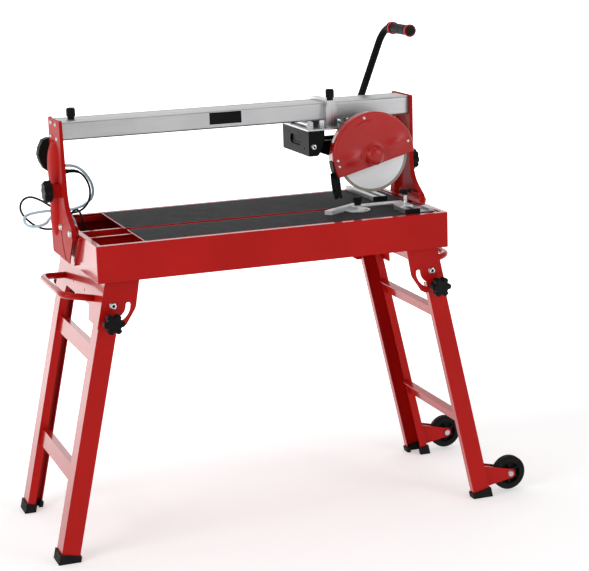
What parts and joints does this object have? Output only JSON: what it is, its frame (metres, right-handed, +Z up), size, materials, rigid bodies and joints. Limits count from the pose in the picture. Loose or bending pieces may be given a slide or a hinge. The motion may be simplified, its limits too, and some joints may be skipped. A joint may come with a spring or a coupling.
{
  "type": "wet tile saw",
  "caption": "Bridge-rail wet tile saw: water tray table, sliding tilting cutting head with a guarded blade, and folding legs with transport wheels.",
  "frame": {"origin": "middle of the footprint, on the floor", "axes": "+X along the table towards the wheels, +Y to the back, +Z up"},
  "size_m": [1.3397, 0.5786, 1.299],
  "materials": {
    "red": "gloss",
    "black_metal": "satin",
    "black_plastic": "satin",
    "rubber": "matte",
    "tyre": "matte",
    "aluminium": "satin",
    "steel": "satin",
    "chrome": "polished",
    "red_plastic": "gloss",
    "hose": "gloss",
    "zinc": "satin"
  },
  "bodies": {
    "table": {"tray": "red", "rear_table_plate": "zinc", "front_table_plate": "zinc", "table_mats": "rubber", "left_leg_bracket": "red", "right_leg_bracket": "red", "carry_handles": "red", "tilt_stops": "zinc", "tilt_bolts": "steel", "leg_pivot_bolts": "steel", "pump": "black_plastic", "fence_rails": "aluminium", "fence_caps": "black_plastic", "corner_clamp": "zinc", "pump_lead": "rubber", "water_hose": "hose"},
    "guide": {"guide_arm": "zinc"},
    "guide_wing": {"wing_knob": "black_plastic"},
    "guide_stop": {"angle_stop": "aluminium"},
    "guide_post_knob": {"stop_knob": "black_plastic"},
    "bridge": {"left_tower": "red", "right_tower": "red", "rail": "aluminium", "rail_label": "black_plastic", "tower_screws": "steel", "switch_box": "black_plastic", "cable_gland": "black_plastic"},
    "left_clamp": {"left_tower_knob": "black_plastic"},
    "right_clamp": {"right_tower_knob": "black_plastic"},
    "rail_lock": {"rail_stop_knob": "black_plastic"},
    "carriage": {"carriage_saddle": "zinc", "head_bracket": "black_metal", "plunge_bolt": "steel"},
    "carriage_lock": {"carriage_knob": "black_plastic"},
    "left_roller": {"roller_left": "chrome"},
    "right_roller": {"roller_right": "chrome"},
    "head": {"motor": "black_metal", "guard_back": "black_metal", "guard_cover": "red", "guard_screws": "chrome", "handle_tube": "black_metal", "handle_grip": "rubber", "grip_rings": "red_plastic", "flap_hanger": "black_metal", "splash_flap": "rubber"},
    "spindle": {"blade": "steel", "blade_flanges": "steel"},
    "left_legs": {"left_leg_frame": "red", "left_feet": "rubber"},
    "right_legs": {"right_leg_frame": "red", "right_feet": "rubber", "wheel_bolts": "steel"},
    "left_front_star": {"left_front_star_knob": "black_plastic"},
    "left_rear_star": {"left_rear_star_knob": "black_plastic"},
    "right_front_star": {"right_front_star_knob": "black_plastic"},
    "right_rear_star": {"right_rear_star_knob": "black_plastic"},
    "front_wheel": {"front_wheel_tyre": "tyre", "front_wheel_hub": "red_plastic"},
    "rear_wheel": {"rear_wheel_tyre": "tyre", "rear_wheel_hub": "red_plastic"}
  },
  "joints": [
    {"name": "bridge_tilt", "type": "hinge", "parent": "table", "child": "bridge", "pos_m": [-0.54829, -0.064, 0.8205], "axis": [1, 0, 0], "range_deg": [0, 45]},
    {"name": "carriage_slide", "type": "slide", "parent": "bridge", "child": "carriage", "axis": [-1, 0, 0], "range_m": [0, 0.57]},
    {"name": "head_plunge", "type": "hinge", "parent": "carriage", "child": "head", "pos_m": [0.12871, -0.028, 0.988], "axis": [0, 1, 0], "range_deg": [0, 15]},
    {"name": "blade_spin", "type": "hinge", "parent": "head", "child": "spindle", "pos_m": [0.28771, -0.07, 0.958], "axis": [0, 1, 0], "continuous": true},
    {"name": "left_legs_fold", "type": "hinge", "parent": "table", "child": "left_legs", "pos_m": [-0.49379, 0, 0.662], "axis": [0, -1, 0], "range_deg": [0, 95]},
    {"name": "right_legs_fold", "type": "hinge", "parent": "table", "child": "right_legs", "pos_m": [0.38021, 0, 0.662], "axis": [0, 1, 0], "range_deg": [0, 62]},
    {"name": "front_wheel_roll", "type": "hinge", "parent": "right_legs", "child": "front_wheel", "pos_m": [0.61987, -0.21, 0.0535], "axis": [0, 1, 0], "continuous": true},
    {"name": "rear_wheel_roll", "type": "hinge", "parent": "right_legs", "child": "rear_wheel", "pos_m": [0.61987, 0.21, 0.0535], "axis": [0, 1, 0], "continuous": true},
    {"name": "left_front_star_turn", "type": "hinge", "parent": "left_legs", "child": "left_front_star", "pos_m": [-0.5029, -0.26, 0.62408], "axis": [0, -1, 0], "range_deg": [0, 720]},
    {"name": "left_rear_star_turn", "type": "hinge", "parent": "left_legs", "child": "left_rear_star", "pos_m": [-0.5029, 0.26, 0.62408], "axis": [0, 1, 0], "range_deg": [0, 720]},
    {"name": "right_front_star_turn", "type": "hinge", "parent": "right_legs", "child": "right_front_star", "pos_m": [0.38932, -0.26, 0.62408], "axis": [0, -1, 0], "range_deg": [0, 720]},
    {"name": "right_rear_star_turn", "type": "hinge", "parent": "right_legs", "child": "right_rear_star", "pos_m": [0.38932, 0.26, 0.62408], "axis": [0, 1, 0], "range_deg": [0, 720]},
    {"name": "left_clamp_turn", "type": "hinge", "parent": "bridge", "child": "left_clamp", "pos_m": [-0.57679, 0.033, 0.9185], "axis": [-1, 0, 0], "range_deg": [0, 720]},
    {"name": "right_clamp_turn", "type": "hinge", "parent": "bridge", "child": "right_clamp", "pos_m": [0.44321, 0.0325, 0.921], "axis": [1, 0, 0], "range_deg": [0, 720]},
    {"name": "rail_lock_turn", "type": "hinge", "parent": "bridge", "child": "rail_lock", "pos_m": [-0.50579, 0.055, 1.105], "axis": [0, 0, 1], "range_deg": [0, 720]},
    {"name": "carriage_lock_turn", "type": "hinge", "parent": "carriage", "child": "carriage_lock", "pos_m": [0.19506, 0.00025, 1.11], "axis": [0, 0, 1], "range_deg": [0, 720]},
    {"name": "left_roller_roll", "type": "hinge", "parent": "carriage", "child": "left_roller", "pos_m": [0.13321, 0.052, 1.04275], "axis": [0, 1, 0], "continuous": true},
    {"name": "right_roller_roll", "type": "hinge", "parent": "carriage", "child": "right_roller", "pos_m": [0.24671, 0.052, 1.04275], "axis": [0, 1, 0], "continuous": true},
    {"name": "guide_slide", "type": "slide", "parent": "table", "child": "guide", "axis": [0, 1, 0], "range_m": [-0.03, 0.05]},
    {"name": "guide_wing_turn", "type": "hinge", "parent": "guide", "child": "guide_wing", "pos_m": [0.33721, -0.17, 0.8465], "axis": [0, 0, 1], "range_deg": [0, 720]},
    {"name": "stop_swing", "type": "hinge", "parent": "guide", "child": "guide_stop", "pos_m": [0.21681, -0.128, 0.825], "axis": [0, 0, 1], "range_deg": [-10, 10]},
    {"name": "post_knob_turn", "type": "hinge", "parent": "guide", "child": "guide_post_knob", "pos_m": [0.21681, -0.128, 0.8415], "axis": [0, 0, 1], "range_deg": [0, 720]}
  ]
}
